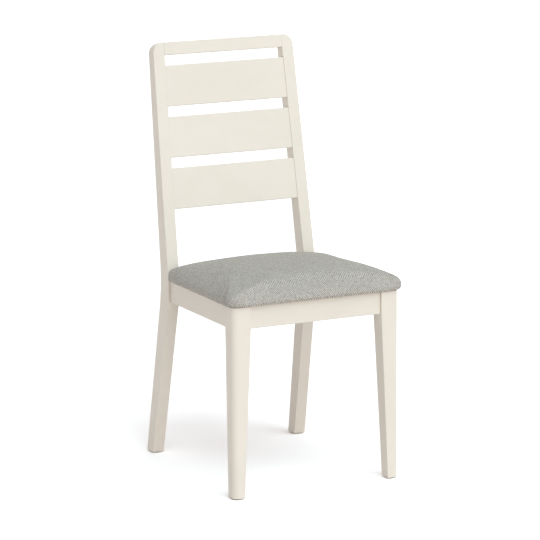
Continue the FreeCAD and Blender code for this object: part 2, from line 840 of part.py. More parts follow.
def make_staples():
    """Staples pressed flush: a row round the turned-in cover and one round the dust cover."""
    body = make_body("staple")
    outer = "staple_crown/2"
    inner = "(staple_crown/2 - staple_wire)"
    outline = [
        (f"-{outer}", "0"), (outer, "0"), (outer, "staple_leg"), (inner, "staple_leg"),
        (inner, "staple_wire"), (f"-{inner}", "staple_wire"), (f"-{inner}", "staple_leg"),
        (f"-{outer}", "staple_leg")]
    add_pad(body, add_sketch(body, "outline", "XZ_Plane", [outline]), "staple_wire_width")
    quarter_turn = FreeCAD.Rotation(Vector(0, 0, 1), 90)

    def row(name, front, rear, half_at, across_count, along_count, height):
        copies = []
        for end, depth in (("front", front), ("rear", rear)):
            for number in range(across_count):
                share = (2*number + 1)/across_count - 1
                copies.append(copy_at(body, f"{name}_{end}_{number}", UPRIGHT,
                                      x=f"{share}*{half_at(depth)}", y=depth, z=height))
        for side_name, side in SIDES.items():
            for number in range(along_count):
                share = (number + 1)/(along_count + 1)
                depth = f"({front} + ({rear} - ({front}))*{share})"
                copies.append(copy_at(body, f"{name}_{side_name}_{number}", quarter_turn,
                                      x=f"{side}*{half_at(depth)}", y=depth, z=height))
        return copies
    cover_row = row(
        "cover_staple", "pad_front + cover_staple_inset", "pad_rear - cover_staple_inset",
        lambda depth: pad_side(depth, "cover_staple_inset"),
        COVER_STAPLES_ACROSS_COUNT, COVER_STAPLES_ALONG_COUNT, "0")
    dust_row = row(
        "dust_staple", "(front_rail_back + dust_cover_gap + dust_staple_inset)",
        "(pad_rear - dust_cover_rear_inset - dust_staple_inset)",
        lambda depth: f"({side_inner(depth)} - dust_cover_gap - dust_staple_inset)",
        DUST_STAPLES_ACROSS_COUNT, DUST_STAPLES_ALONG_COUNT, "-dust_cover_thickness")
    return (fastener_group("cover_staples", cover_row, in_seat_frame=True),
            fastener_group("dust_cover_staples", dust_row, in_seat_frame=True))


def rounded_wire(corners, radii):
    """A closed outline of lines and arcs from its corners and their radii."""
    count = len(corners)
    arcs = []
    for index, (corner, radius) in enumerate(zip(corners, radii)):
        before = (corners[index - 1] - corner).normalize()
        after = (corners[(index + 1) % count] - corner).normalize()
        half_angle = before.getAngle(after)/2
        inward = (before + after).normalize()
        run = radius/math.tan(half_angle)
        middle = corner + inward*(radius/math.sin(half_angle) - radius)
        arcs.append((corner + before*run, middle, corner + after*run))
    edges = []
    for index, (start, middle, end) in enumerate(arcs):
        edges.append(Part.Arc(start, middle, end).toShape())
        edges.append(Part.LineSegment(end, arcs[(index + 1) % count][0]).toShape())
    return Part.Wire(edges)


def pad_corners(inset, height):
    """Corners of the pad's plan as points at a height, less an inset."""
    front = read("pad_front") + inset
    rear = read("pad_rear") - inset
    half_front = read("pad_front_half") - inset*(1 + read("pad_taper"))
    half_rear = read("pad_rear_half") - inset*(1 - read("pad_taper"))
    return [
        Vector(-half_front, front, height), Vector(half_front, front, height),
        Vector(half_rear, rear, height), Vector(-half_rear, rear, height)]


def pad_section(inset, height):
    """Level outline of the pad at an inset from its plan; its corners grow rounder inwards."""
    corners = pad_corners(inset, height)
    shortest = min(corners[2].y - corners[1].y, corners[2].x - corners[3].x)
    radii = []
    for radius in (read("pad_front_corner"), read("pad_rear_corner")):
        radii.append(min(radius + PAD_CORNER_GROWTH_SHARE*inset, PAD_CORNER_LIMIT_SHARE*shortest))
    return rounded_wire(corners, (radii[0], radii[0], radii[1], radii[1]))


def pad_form(shrink, base, cap):
    """The crowned form of the pad, shrunk all round, from a base height to a cap below its top."""
    shoulder = read("pad_edge_height") - cap
    crown = read("pad_crown_height") - cap
    sections = []
    for inset_share, height_share in PAD_EDGE_SHARES:
        inset = shrink + inset_share*read("pad_edge_round")
        sections.append(pad_section(inset, base + height_share*(shoulder - base)))
    for inset_share, height_share in PAD_CROWN_SHARES:
        run = read("pad_crown_inset") - read("pad_edge_round")
        inset = shrink + read("pad_edge_round") + inset_share*run
        sections.append(pad_section(inset, shoulder + height_share*(crown - shoulder)))
    return Part.makeLoft(sections, True, True)


def soft_piece(name, shape, tools=()):
    """A soft layer of the seat, laid on the seat plane and cut by what passes through it."""
    shape.Placement = FreeCAD.Placement(
        Vector(0, 0, read("seat_rail_top")), FreeCAD.Rotation(Vector(-1, 0, 0), read("seat_slope")))
    for tool in tools:
        shape = shape.cut(tool.Shape)
    piece = doc.addObject("Part::Feature", name)
    piece.Shape = shape
    return finish(piece, name)


def upright_prism(inset, radius, base, height):
    """A prism over the pad's plan less an inset, all its corners of one radius."""
    outline = rounded_wire(pad_corners(inset, base), [radius]*4)
    return Part.Face(outline).extrude(Vector(0, 0, height))


def make_padding(tools):
    """Foam on the board, wadding round both, and the cover with its edges turned in underneath."""
    skin = read("cover_thickness")
    depth = skin + read("wadding_thickness")
    foam = pad_form(depth, read("board_top"), depth)
    inside = pad_form(skin, skin, skin)
    opening = upright_prism(read("cover_turn_in"), read("pad_rear_corner"), -skin, skin + skin + skin)
    cover = pad_form(0, 0, 0).cut(inside).cut(opening)
    board = upright_prism(read("board_inset"), read("board_corner"), skin, read("board_thickness"))
    wadding = inside.cut(board).cut(foam)
    soft_piece("seat_foam", foam)
    soft_piece("seat_wadding", wadding)
    soft_piece("seat_cover", cover, tools)


# The whole chair

def build():
    dowels = make_dowels()
    block_screws, counterbores = make_block_screws()
    seat_screws = make_seat_screws()
    nails = make_feet()
    tenon_bars = make_slats()
    make_top_rail(dowels)
    make_cross_rails(dowels, block_screws)
    posts = post_blanks()
    legs = leg_blanks()
    post_joinery = [dowels[rail + "_rail_dowels"] for rail in ("side", "rear", "top")]
    leg_joinery = [dowels[rail + "_rail_dowels"] for rail in ("side", "front")]
    for side_name, side in SIDES.items():
        cut_by(posts[side_name], tenon_bars + post_joinery + [nails], f"rear_post_{side_name}")
        cut_by(legs[side_name], leg_joinery + [nails], f"front_leg_{side_name}")
        make_side_rail(side_name, side, dowels, block_screws)
        for end in ("front", "rear"):
            bores = counterbores[f"{end}_{side_name}"]
            make_corner_block(end, side_name, side, [block_screws, seat_screws] + bores)
    cover_staples, dust_staples = make_staples()
    make_seat_board([seat_screws, cover_staples, dust_staples])
    make_dust_cover([seat_screws, dust_staples])
    doc.recompute()
    make_padding([seat_screws, cover_staples, dust_staples])
    doc.recompute()


def check():
    """Stops before anything is written if a feature failed or a piece is not a sound solid."""
    for thing in doc.Objects:
        if {"Invalid", "Error"} & set(thing.State):
            raise RuntimeError(f"{thing.Name} failed: {thing.State}")
    for piece in finished:
        shape = piece.Shape
        if shape.isNull() or not shape.isValid() or not shape.Solids:
            raise RuntimeError(f"{piece.Label} is not a sound solid")


def write():
    os.makedirs("parts", exist_ok=True)
    for piece in finished:
        piece.Shape.exportStep(os.path.join("parts", piece.Label + ".step"))


build()
check()
write()
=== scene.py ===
import json
import math

import bmesh
import bpy
from mathutils import Matrix, Vector, noise


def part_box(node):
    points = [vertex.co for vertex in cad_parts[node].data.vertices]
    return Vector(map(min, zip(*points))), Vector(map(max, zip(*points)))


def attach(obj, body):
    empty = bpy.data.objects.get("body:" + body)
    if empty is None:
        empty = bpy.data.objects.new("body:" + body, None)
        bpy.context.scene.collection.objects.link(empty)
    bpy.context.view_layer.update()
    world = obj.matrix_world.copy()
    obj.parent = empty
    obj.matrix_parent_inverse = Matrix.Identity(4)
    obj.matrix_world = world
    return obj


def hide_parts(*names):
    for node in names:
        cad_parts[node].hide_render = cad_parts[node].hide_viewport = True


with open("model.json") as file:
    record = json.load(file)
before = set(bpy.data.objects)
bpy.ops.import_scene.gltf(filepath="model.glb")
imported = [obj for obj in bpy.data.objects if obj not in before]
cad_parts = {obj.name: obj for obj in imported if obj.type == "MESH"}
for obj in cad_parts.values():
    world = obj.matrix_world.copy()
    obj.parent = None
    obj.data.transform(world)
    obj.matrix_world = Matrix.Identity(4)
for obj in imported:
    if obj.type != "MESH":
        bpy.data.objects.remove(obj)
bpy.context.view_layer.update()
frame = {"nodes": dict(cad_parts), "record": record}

# Upholstered dining chair: the painted timber frame keeps its solids, and the seat gets a simulated
# cushion and a stretched dust cover. Everything is in metres, in the chair's own frame: +Z up, the
# front of the chair towards -Y, the origin on the floor under its middle.

scene = bpy.context.scene
nodes = frame["nodes"]


# Sizes

# The photograph's frame in pixels, and the lens and view that match it
PHOTO_SIZE = 540
SENSOR = 36.0
FOCAL_PIXELS = 3057.6
CENTRE_PIXEL = (272.6, 269.4)
VIEW_AZIMUTH = math.radians(-26.5)
VIEW_ELEVATION = math.radians(11.7)
VIEW_ROLL = math.radians(-0.3)
VIEW_DISTANCE = 7.101
TARGET_ACROSS = 0.0124
TARGET_BEHIND_FRONT = 0.248
TARGET_HEIGHT = 0.4655

# The seat: its slope down to the rear, and the form that the padding swells from
SEAT_SLOPE = math.radians(1.55)
START_SHRINK = 0.0022
EDGE_HEIGHT = 0.037
CROWN_HEIGHT = 0.0605
START_CROWN_HEIGHT = 0.055
EDGE_ROUND = 0.013
FRONT_CORNER = 0.020
REAR_CORNER = 0.014
CORNER_GROWTH_SHARE = 0.8
CORNER_LIMIT_SHARE = 0.45
# Side of the pad from its underside to its shoulder: shares of the edge round and the edge height
SIDE_SHARES = ((0.55, 0.0), (0.25, 0.02), (0.1, 0.07), (0.02, 0.18), (0.0, 0.34), (0.0, 0.5),
               (0.05, 0.66), (0.2, 0.8), (0.5, 0.92), (1.0, 1.0))
CROWN_STEPS = 12
CROWN_INSET = 0.14
CROWN_POWER = 2.8
ARC_STEPS = 10
EDGE_STEPS = 28

# The cushion's simulation, and the smoothing after it
VOXEL = 0.0045
PRESSURE = 4.0
STIFFNESS = 40.0
BENDING = 5.0
LAST_FRAME = 20
MOST_SWELL = 0.0085
HELD_HEIGHT = 0.0035
SMOOTH_ROUNDS = 6
SMOOTH_FACTOR = 0.5
# Unevenness of the stuffing: amplitude and wavelength
LUMP_SIZE = 0.0008
LUMP_LENGTH = 0.075
# Start of the weave coordinates, far enough out to keep them above zero, where yarns are counted
WEAVE_START = 1.0

# Dust cover under the seat: thin cloth, its hem folded in against the seat and stapled
CLOTH_THICKNESS = 0.00025
CLOTH_SAG = 0.0016
CLOTH_STEP = 0.004
CLOTH_RINGS = 30
HEM_WIDTH = 0.012
HEM_RINGS = 4
UPPER_LAYER = -0.00015
LOWER_LAYER = -0.00045
FOLD_ROUND = 0.0003
SAME_PLACE = 0.00005
# Reach of one staple's vertices, and the pull of the staples on the cloth: depth, width and number of
# the folds that run from each, and the scallops that they leave along the edge, which fade inwards
STAPLE_REACH = 0.012
PUCKER_DEPTH = 0.0006
PUCKER_REACH = 0.028
PUCKER_START = 0.007
PUCKER_FOLDS = 7
SCALLOP_DEPTH = 0.0014
SCALLOP_REACH = 0.022
SCALLOP_FADE = 4

# Floor: half its side, the colour that lights the chair, and the colour that the eye sees
FLOOR_REACH = 60.0
FLOOR_BOUNCE = (0.89, 0.81, 0.785)
FLOOR_SEEN = (1.47, 1.485, 1.51)

# Sky: its strength at the horizon and overhead, the change in it along each axis, and its tint
SKY_HORIZON = 0.93
SKY_ZENITH = 0.31
SKY_LIFT = (0.19, -0.44, 0.0)
SKY_TINT = (1.0, 0.955, 0.94)
WHITE = (1.0, 1.0, 1.0)

# Lamps, in front and behind. A white face that looks straight at a lamp shows its level.
LAMP_SPREAD = math.radians(50)
KEY_AZIMUTH = math.radians(3)
KEY_ELEVATION = math.radians(55)
KEY_LEVEL = 0.37
KEY_TINT = (0.92, 1.075, 1.12)
FILL_AZIMUTH = math.radians(155)
FILL_ELEVATION = math.radians(22)
FILL_LEVEL = 0.13
FILL_TINT = (1.0, 0.98, 0.96)


# The pad's own space: Z zero on the sloping plane of the rails' tops, Y zero at the front legs' fronts

leg_low, leg_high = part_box("front_leg_left")
PAD_SPACE = Matrix.Translation((0, leg_low.y, leg_high.z)) @ Matrix.Rotation(-SEAT_SLOPE, 4, "X")


def in_pad_space(node):
    """The corners of a CAD node's mesh in the pad's own space."""
    back = PAD_SPACE.inverted()
    return [back @ vertex.co for vertex in nodes[node].data.vertices]


def pad_limits():
    """Front and rear of the pad, and its half widths at its sharp corners, from the CAD cover."""
    points = in_pad_space("seat_cover")
    front = min(point.y for point in points)
    rear = max(point.y for point in points)
    span = rear - front
    front_half = max(abs(point.x) for point in points)
    rear_half = max(abs(point.x) for point in points if point.y > rear - FRONT_CORNER)
    taper = (front_half - rear_half)/(span - FRONT_CORNER - REAR_CORNER)
    return front, rear, front_half + taper*FRONT_CORNER, rear_half - taper*REAR_CORNER


PAD_FRONT, PAD_REAR, PAD_FRONT_HALF, PAD_REAR_HALF = pad_limits()


# Node trees

# Rays that the corner shading sends out, and the openness at which it is full and at which it ends
CORNER_RAYS = 8
CORNER_FULL = 0.5
CORNER_END = 0.8


def linear(red, green, blue):
    """A screen colour of 0 to 255 as the shader's linear values."""
    def one(value):
        share = value/255
        return share/12.92 if share <= 0.04045 else ((share + 0.055)/1.055)**2.4
    return one(red), one(green), one(blue)


class Tree:
    """The node tree of a material or of the sky, with short calls for the nodes that they share."""

    def __init__(self, owner, shader="Principled BSDF"):
        owner.use_nodes = True
        self.owner = owner
        self.tree = owner.node_tree
        self.shader = self.tree.nodes[shader]

    def add(self, kind, **settings):
        """A new node with its settings."""
        node = self.tree.nodes.new(kind)
        for key, value in settings.items():
            setattr(node, key, value)
        return node

    def feed(self, socket, value):
        """Links a socket, or sets a plain value."""
        if isinstance(value, bpy.types.NodeSocket):
            self.tree.links.new(value, socket)
        else:
            socket.default_value = value

    def math(self, operation, *values):
        node = self.add("ShaderNodeMath", operation=operation)
        for socket, value in zip(node.inputs, values):
            self.feed(socket, value)
        return node.outputs[0]

    def weighted(self, share, first, second):
        """A share of the first number and the rest of the second."""
        return self.math("ADD", self.math("MULTIPLY", first, share), self.math("MULTIPLY", second, 1 - share))

    def mix(self, kind, factor, first, second, blend="MIX"):
        """Blends two numbers (FLOAT) or two colours (RGBA)."""
        node = self.add("ShaderNodeMix", data_type=kind, blend_type=blend)
        sockets = [socket for socket in node.inputs if socket.enabled]
        for socket, value in zip(sockets, (factor, first, second)):
            self.feed(socket, value)
        return next(socket for socket in node.outputs if socket.enabled)

    def spread(self, factor, low, high):
        """Maps zero to one onto low to high."""
        node = self.add("ShaderNodeMapRange")
        self.feed(node.inputs["Value"], factor)
        self.feed(node.inputs["To Min"], low)
        self.feed(node.inputs["To Max"], high)
        return node.outputs["Result"]

    def ramp(self, factor, stops):
        """A colour ramp through stops: each a place from zero to one and a linear colour."""
        node = self.add("ShaderNodeValToRGB")
        ramp = node.color_ramp
        while len(ramp.elements) < len(stops):
            ramp.elements.new(1.0)
        for element, (place, colour) in zip(ramp.elements, stops):
            element.position = place
            element.color = (*colour, 1.0)
        self.feed(node.inputs["Fac"], factor)
        return node.outputs["Color"]

    def tones(self, factor, stops):
        """A colour ramp through stops with screen colours."""
        return self.ramp(factor, [(place, linear(*colour)) for place, colour in stops])

    def place(self, stretch=(1.0, 1.0, 1.0)):
        """Object coordinates, stretched."""
        coordinates = self.add("ShaderNodeTexCoord")
        mapping = self.add("ShaderNodeMapping")
        self.tree.links.new(coordinates.outputs["Object"], mapping.inputs["Vector"])
        mapping.inputs["Scale"].default_value = stretch
        return mapping.outputs["Vector"]

    def noise(self, vector, scale=1.0, detail=2.0, roughness=0.5):
        node = self.add("ShaderNodeTexNoise")
        self.feed(node.inputs["Vector"], vector)
        self.feed(node.inputs["Scale"], scale)
        self.feed(node.inputs["Detail"], detail)
        self.feed(node.inputs["Roughness"], roughness)
        return node.outputs["Fac"]

    def fibres(self, grain, across, along):
        """Fine noise drawn out along the grain's axis, by its features per metre across and along it."""
        stretch = [across]*3
        stretch["XYZ".index(grain)] = along
        return self.noise(self.place(stretch), detail=3.0, roughness=0.6)

    def wave(self, vector, scale, distortion, **settings):
        node = self.add("ShaderNodeTexWave", **settings)
        self.feed(node.inputs["Vector"], vector)
        self.feed(node.inputs["Scale"], scale)
        self.feed(node.inputs["Distortion"], distortion)
        return node.outputs["Fac"]

    def bump(self, height, depth, strength, below=None):
        """A normal from heights of zero to one over a depth, on top of the normal below."""
        node = self.add("ShaderNodeBump")
        self.feed(node.inputs["Height"], height)
        node.inputs["Distance"].default_value = depth
        node.inputs["Strength"].default_value = strength
        if below is not None:
            self.tree.links.new(below, node.inputs["Normal"])
        return node.outputs["Normal"]

    def seen(self):
        """One for the rays that show the background: straight, in a gloss or through something clear."""
        path = self.add("ShaderNodeLightPath")
        return self.math("MAXIMUM", path.outputs["Is Camera Ray"],
                         self.math("MAXIMUM", path.outputs["Is Glossy Ray"],
                                   path.outputs["Is Transmission Ray"]))

    def painted_corner_shade(self, colour, reach, tint):
        """A colour, darkened by painted shade in narrow corners and against neighbouring pieces within reach.
        """
        node = self.add("ShaderNodeAmbientOcclusion", samples=CORNER_RAYS)
        node.inputs["Distance"].default_value = reach
        shade = self.ramp(node.outputs["AO"], ((CORNER_FULL, tint), (CORNER_END, WHITE)))
        return self.mix("RGBA", 1.0, colour, shade, "MULTIPLY")

    def finish(self, colour, roughness, normal=None, **constants):
        """Feeds the material's shader, and gives the material."""
        self.feed(self.shader.inputs["Base Color"], colour)
        self.feed(self.shader.inputs["Roughness"], roughness)
        if normal is not None:
            self.feed(self.shader.inputs["Normal"], normal)
        for name, value in constants.items():
            self.shader.inputs[name.replace("_", " ")].default_value = value
        return self.owner


def material_tree(name):
    """The tree of a new material."""
    return Tree(bpy.data.materials.new(name))


# Finishes
#
# Scales, stretches and the numbers across and along a grain are features per metre. A relief is its depth
# in metres and its strength. Tones are the stops of a colour ramp: a place from zero to one and a screen
# colour. Two numbers for a roughness are its range.

GRAIN_ACROSS = 420.0
GRAIN_ALONG = 9.0
GRAIN_RELIEF = (0.0001, 0.5)
PEEL_SCALE = 900.0
PEEL_RELIEF = (0.00004, 0.5)
CLOUD_SCALE = 7.0
CLOUD_SHARE = 0.75
PAINT_TONES = ((0.3, (231, 226, 214)), (0.7, (237, 232, 221)))
PAINT_ROUGHNESS = (0.42, 0.52)
PAINT_SHINE = 0.4
# Painted shade where two pieces meet: how far it reaches and its darkest tint
SEAM_SHADE_REACH = 0.0035
SEAM_PAINTED_SHADE = (0.62, 0.58, 0.53)


def paint(name, grain):
    """Satin paint over timber: faint grain that shows through, sprayed texture, slight tone changes, painted
    seam shade.
    """
    tree = material_tree(name)
    pores = tree.fibres(grain, GRAIN_ACROSS, GRAIN_ALONG)
    peel = tree.noise(tree.place(), PEEL_SCALE, detail=1.0)
    cloud = tree.noise(tree.place(), CLOUD_SCALE, detail=3.0)
    colour = tree.tones(tree.weighted(CLOUD_SHARE, cloud, pores), PAINT_TONES)
    # Painted shade: an ambient occlusion node darkens the paint's colour in corners and seams
    colour = tree.painted_corner_shade(colour, SEAM_SHADE_REACH, SEAM_PAINTED_SHADE)
    normal = tree.bump(pores, *GRAIN_RELIEF)
    normal = tree.bump(peel, *PEEL_RELIEF, below=normal)
    return tree.finish(colour, tree.spread(cloud, *PAINT_ROUGHNESS), normal, Specular_IOR_Level=PAINT_SHINE)


RING_STRETCH = (4.0, 55.0, 55.0)
RING_SCALE = 1.4
RING_WOBBLE = 5.0
RING_SHARE = 0.55
WOOD_ACROSS = 900.0
WOOD_ALONG = 25.0
WOOD_RELIEF = (0.00025, 0.7)
WOOD_ROUGHNESS = (0.62, 0.8)
BLOCK_TONES = ((0.15, (168, 130, 88)), (0.8, (214, 184, 142)))
DOWEL_TONES = ((0.15, (184, 148, 104)), (0.8, (222, 192, 150)))


def bare_wood(name, tones):
    """Unfinished timber along X with growth rings, fine fibres and open pores."""
    tree = material_tree(name)
    rings = tree.wave(tree.place(RING_STRETCH), RING_SCALE, RING_WOBBLE, wave_type="RINGS")
    fibre = tree.fibres("X", WOOD_ACROSS, WOOD_ALONG)
    colour = tree.tones(tree.weighted(RING_SHARE, rings, fibre), tones)
    return tree.finish(colour, tree.spread(fibre, *WOOD_ROUGHNESS), tree.bump(fibre, *WOOD_RELIEF))


VENEER_SCALE = 110.0
VENEER_WOBBLE = 0.6
VENEER_SHARE = 0.6
PLY_ACROSS = 700.0
PLY_ALONG = 25.0
PLY_RELIEF = (0.0002, 0.6)
PLY_TONES = ((0.2, (150, 112, 74)), (0.8, (214, 182, 140)))
PLY_ROUGHNESS = 0.75


def plywood():
    """Thin veneers of alternating tone, in level layers."""
    tree = material_tree("plywood_finish")
    layers = tree.wave(tree.place(), VENEER_SCALE, VENEER_WOBBLE, wave_type="BANDS", bands_direction="Z")
    fibre = tree.fibres("X", PLY_ACROSS, PLY_ALONG)
    colour = tree.tones(tree.weighted(VENEER_SHARE, layers, fibre), PLY_TONES)
    return tree.finish(colour, PLY_ROUGHNESS, tree.bump(fibre, *PLY_RELIEF))


MARK_STRETCH = (300.0, 300.0, 3000.0)
MARK_RELIEF = (0.00003, 0.5)
MARK_START = 0.3
MARK_END = 0.7
MARK_GLINT = 1.15
MARK_ROUGHNESS = 0.15


def steel(name, shade, roughness):
    """Bright plated steel with fine drawing marks, which glint and are rougher than the rest."""
    tree = material_tree(name)
    marks = tree.noise(tree.place(MARK_STRETCH))
    plain = linear(*shade)
    glint = [min(1.0, value*MARK_GLINT) for value in plain]
    colour = tree.ramp(marks, ((MARK_START, plain), (MARK_END, glint)))
    rough = tree.spread(marks, roughness, roughness + MARK_ROUGHNESS)
    return tree.finish(colour, rough, tree.bump(marks, *MARK_RELIEF), Metallic=1.0)


SPARK_SCALE = 1800.0
SPARK_RELIEF = (0.00008, 0.6)
SCUFF_STRETCH = (60.0, 400.0, 60.0)
GLIDE_TONES = ((0.35, (112, 106, 96)), (0.7, (134, 128, 117)))
GLIDE_ROUGHNESS = (0.45, 0.65)


def nylon():
    """Moulded nylon with a fine spark-eroded texture and scuffs."""
    tree = material_tree("glide_finish")
    sparks = tree.noise(tree.place(), SPARK_SCALE)
    scuff = tree.noise(tree.place(SCUFF_STRETCH), detail=3.0)
    colour = tree.tones(scuff, GLIDE_TONES)
    return tree.finish(colour, tree.spread(scuff, *GLIDE_ROUGHNESS), tree.bump(sparks, *SPARK_RELIEF))


MAT_SCALE = 1400.0
MAT_SHARE = 0.7
MAT_RELIEF = (0.0003, 0.8)
MAT_TONES = ((0.3, (30, 30, 31)), (0.75, (58, 58, 60)))
MAT_ROUGHNESS = 0.92
MAT_SHEEN = 0.15
DOT_SCALE = 700.0
DOT_SCATTER = 0.25


def dust_cloth():
    """Thin black non-woven cloth: a mat of pressed fibres with small bonding dots."""
    tree = material_tree("dust_cloth_finish")
    fibres = tree.noise(tree.place(), MAT_SCALE, detail=4.0, roughness=0.7)
    dots = tree.add("ShaderNodeTexVoronoi", feature="F1")
    tree.feed(dots.inputs["Vector"], tree.place())
    dots.inputs["Scale"].default_value = DOT_SCALE
    dots.inputs["Randomness"].default_value = DOT_SCATTER
    tone = tree.weighted(MAT_SHARE, fibres, dots.outputs["Distance"])
    return tree.finish(tree.tones(tone, MAT_TONES), MAT_ROUGHNESS, tree.bump(tone, *MAT_RELIEF),
                       Sheen_Weight=MAT_SHEEN)


YARN_PITCH = 0.0030
YARN_RELIEF = (0.0010, 0.8)
# How much of its height a yarn loses where another one crosses over it
YARN_DIP_SHARE = 0.45
# Length of a yarn's flecks, and the steps between the yarns and the two sets of yarns in the noise
FLECK_LENGTH = 0.0036
FLECK_STEP = 7.31
WARP_START = 3.7
WEFT_START = 41.3
HAIR_SCALE = 2600.0
HAIR_RELIEF = (0.00015, 0.5)
# What each detail gives to the tone: its weight, and the offset that keeps the mean tone
FLECK_TONE = (0.85, 0.075)
# Painted shade: the tone darkens where the yarns dip and in the gaps between them
HOLLOW_SHADE_TONE = (0.3, -0.185)
CROSSING_TONE = (0.27, -0.135)
HAIR_TONE = (0.16, -0.08)
FABRIC_TONES = ((0.28, (141, 138, 130)), (0.46, (179, 176, 168)), (0.60, (205, 203, 196)),
                (0.80, (235, 234, 228)))
FABRIC_ROUGHNESS = 0.95
FABRIC_SHINE = 0.15
FABRIC_SHEEN = 0.03
SHEEN_ROUGHNESS = 0.6


def weave():
    """Chunky plain weave of heathered yarns, with painted shade in the hollows between them, laid over the
    pad from its own weave coordinates.
    """
    tree = material_tree("seat_fabric_finish")
    laid = tree.add("ShaderNodeUVMap", uv_map="weave")
    split = tree.add("ShaderNodeSeparateXYZ")
    tree.feed(split.inputs["Vector"], laid.outputs["UV"])

    def yarn_set(metres):
        """The yarns that lie side by side along one axis: their numbers and their round sections."""
        place = tree.math("DIVIDE", metres, YARN_PITCH)
        hump = tree.math("SINE", tree.math("MULTIPLY", tree.math("FRACT", place), math.pi))
        return {"metres": metres, "number": tree.math("FLOOR", place), "hump": hump}

    def relief(own, other):
        """Height of a set's yarns, which dip where the other set crosses over."""
        crown = tree.math("MULTIPLY_ADD", other["hump"], YARN_DIP_SHARE, 1 - YARN_DIP_SHARE)
        return tree.math("MULTIPLY", tree.math("SQRT", own["hump"]), crown)

    def flecks(own, other, start):
        """Flecks along a set's yarns, different on each yarn."""
        spot = tree.add("ShaderNodeCombineXYZ")
        tree.feed(spot.inputs["X"], tree.math("MULTIPLY", own["number"], FLECK_STEP))
        tree.feed(spot.inputs["Y"], tree.math("DIVIDE", other["metres"], FLECK_LENGTH))
        spot.inputs["Z"].default_value = start
        return tree.noise(spot.outputs["Vector"], detail=3.0, roughness=0.65)

    warp = yarn_set(split.outputs["X"])
    weft = yarn_set(split.outputs["Y"])
    crossing = tree.math("MODULO", tree.math("ADD", warp["number"], weft["number"]), 2.0)
    warp_over = tree.math("ABSOLUTE", crossing)
    height = tree.mix("FLOAT", warp_over, relief(weft, warp), relief(warp, weft))
    fleck = tree.mix("FLOAT", warp_over, flecks(weft, warp, WEFT_START), flecks(warp, weft, WARP_START))
    hair = tree.noise(tree.place(), HAIR_SCALE)
    tone = tree.math("MULTIPLY_ADD", fleck, *FLECK_TONE)
    for detail, weight in ((height, HOLLOW_SHADE_TONE), (warp_over, CROSSING_TONE), (hair, HAIR_TONE)):
        tone = tree.math("ADD", tone, tree.math("MULTIPLY_ADD", detail, *weight))
    normal = tree.bump(height, *YARN_RELIEF)
    normal = tree.bump(hair, *HAIR_RELIEF, below=normal)
    return tree.finish(tree.tones(tone, FABRIC_TONES), FABRIC_ROUGHNESS, normal, Sheen_Weight=FABRIC_SHEEN,
                       Sheen_Roughness=SHEEN_ROUGHNESS, Specular_IOR_Level=FABRIC_SHINE)


UPRIGHT_PIECES = ("rear_post", "front_leg")
ALONG_PIECES = ("side_seat_rail",)


def grain_axis(name):
    """The axis that a painted timber's grain runs along."""
    if name.startswith(UPRIGHT_PIECES):
        return "Z"
    if name.startswith(ALONG_PIECES):
        return "Y"
    return "X"


def dress_frame():
    """Gives every node that keeps its solid its finish."""
    paints = {
        "X": paint("paint_across", "X"),
        "Y": paint("paint_along", "Y"),
        "Z": paint("paint_upright", "Z"),
    }
    by_slot = {
        "block_wood": bare_wood("block_finish", BLOCK_TONES),
        "dowel_wood": bare_wood("dowel_finish", DOWEL_TONES),
        "plywood": plywood(),
        "screw_steel": steel("screw_finish", shade=(206, 198, 176), roughness=0.3),
        "staple_steel": steel("staple_finish", shade=(200, 200, 202), roughness=0.28),
        "nail_steel": steel("nail_finish", shade=(188, 188, 190), roughness=0.32),
        "glide_plastic": nylon(),
    }
    for piece in frame["record"]["subparts"]:
        name = piece["node"]
        slot = piece["material_slot"]
        if slot == "painted_wood":
            finish = paints[grain_axis(name)]
        elif slot in by_slot:
            finish = by_slot[slot]
        else:
            continue
        materials = nodes[name].data.materials
        if not materials:
            materials.append(finish)
        for index in range(len(materials)):
            materials[index] = finish


# The cushion

def pad_outline(inset, height):
    """A level ring of the pad: straight runs and round corners of evenly spread points."""
    span = PAD_REAR - PAD_FRONT
    taper = (PAD_FRONT_HALF - PAD_REAR_HALF)/span
    front = PAD_FRONT + inset
    rear = PAD_REAR - inset
    half_front = PAD_FRONT_HALF - inset*(1 + taper)
    half_rear = PAD_REAR_HALF - inset*(1 - taper)
    corners = [Vector((half_rear, rear)), Vector((-half_rear, rear)),
               Vector((-half_front, front)), Vector((half_front, front))]
    limit = CORNER_LIMIT_SHARE*min(rear - front, 2*half_rear)
    radii = [min(radius + CORNER_GROWTH_SHARE*inset, limit)
             for radius in (REAR_CORNER, REAR_CORNER, FRONT_CORNER, FRONT_CORNER)]
    arcs = []
    for index, (corner, radius) in enumerate(zip(corners, radii)):
        before = (corners[index - 1] - corner).normalized()
        after = (corners[(index + 1) % len(corners)] - corner).normalized()
        half_angle = before.angle(after)/2
        centre = corner + (before + after).normalized()*(radius/math.sin(half_angle))
        start = corner + before*(radius/math.tan(half_angle)) - centre
        turn = math.pi - 2*half_angle
        arcs.append([centre + Matrix.Rotation(turn*step/ARC_STEPS, 2) @ start
                     for step in range(ARC_STEPS + 1)])
    ring = []
    for index, arc in enumerate(arcs):
        ring.extend(arc)
        following = arcs[(index + 1) % len(arcs)][0]
        for step in range(1, EDGE_STEPS):
            ring.append(arc[-1].lerp(following, step/EDGE_STEPS))
    return [Vector((point.x, point.y, height)) for point in ring]


def crown_rise(share):
    """Rise of the crown at a share of the way in from the shoulder: steep first, level at the middle."""
    return 1 - (1 - share)**CROWN_POWER


